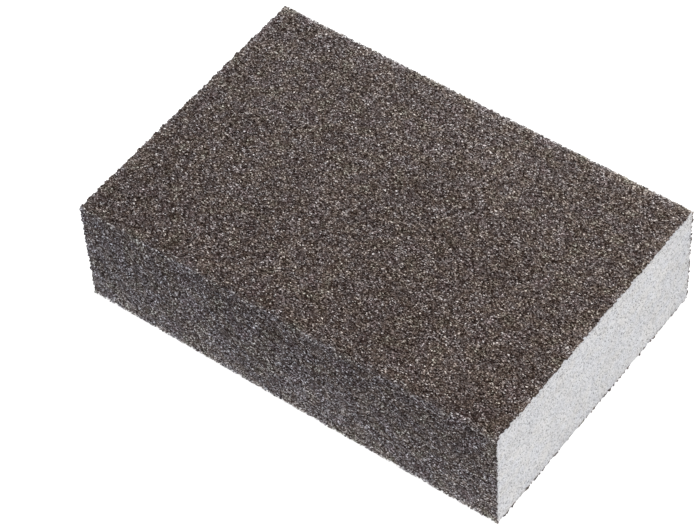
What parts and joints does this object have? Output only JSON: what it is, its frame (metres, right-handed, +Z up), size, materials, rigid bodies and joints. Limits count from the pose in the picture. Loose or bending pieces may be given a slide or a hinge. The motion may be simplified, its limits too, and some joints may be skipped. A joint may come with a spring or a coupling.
{
  "type": "sanding sponge",
  "caption": "Rectangular soft foam block with a dark abrasive grit coat round its long faces and edges and pale bare foam at both cut ends, for sanding by hand.",
  "frame": {"origin": "middle of the face that the block lies on", "axes": "+X along the length, from the left bare end to the right one, +Y across the width to the back, +Z up through the thickness"},
  "size_m": [0.1, 0.0676, 0.0275],
  "materials": {
    "foam": "pale grey fine-celled foam, dull, with small open cells on the cut ends",
    "abrasive": "brown fused alumina grain of about 0.4 mm bonded in dark resin, rough with small glints"
  },
  "bodies": {
    "root": {"foam_core": "foam", "abrasive_coat": "abrasive"}
  },
  "joints": []
}
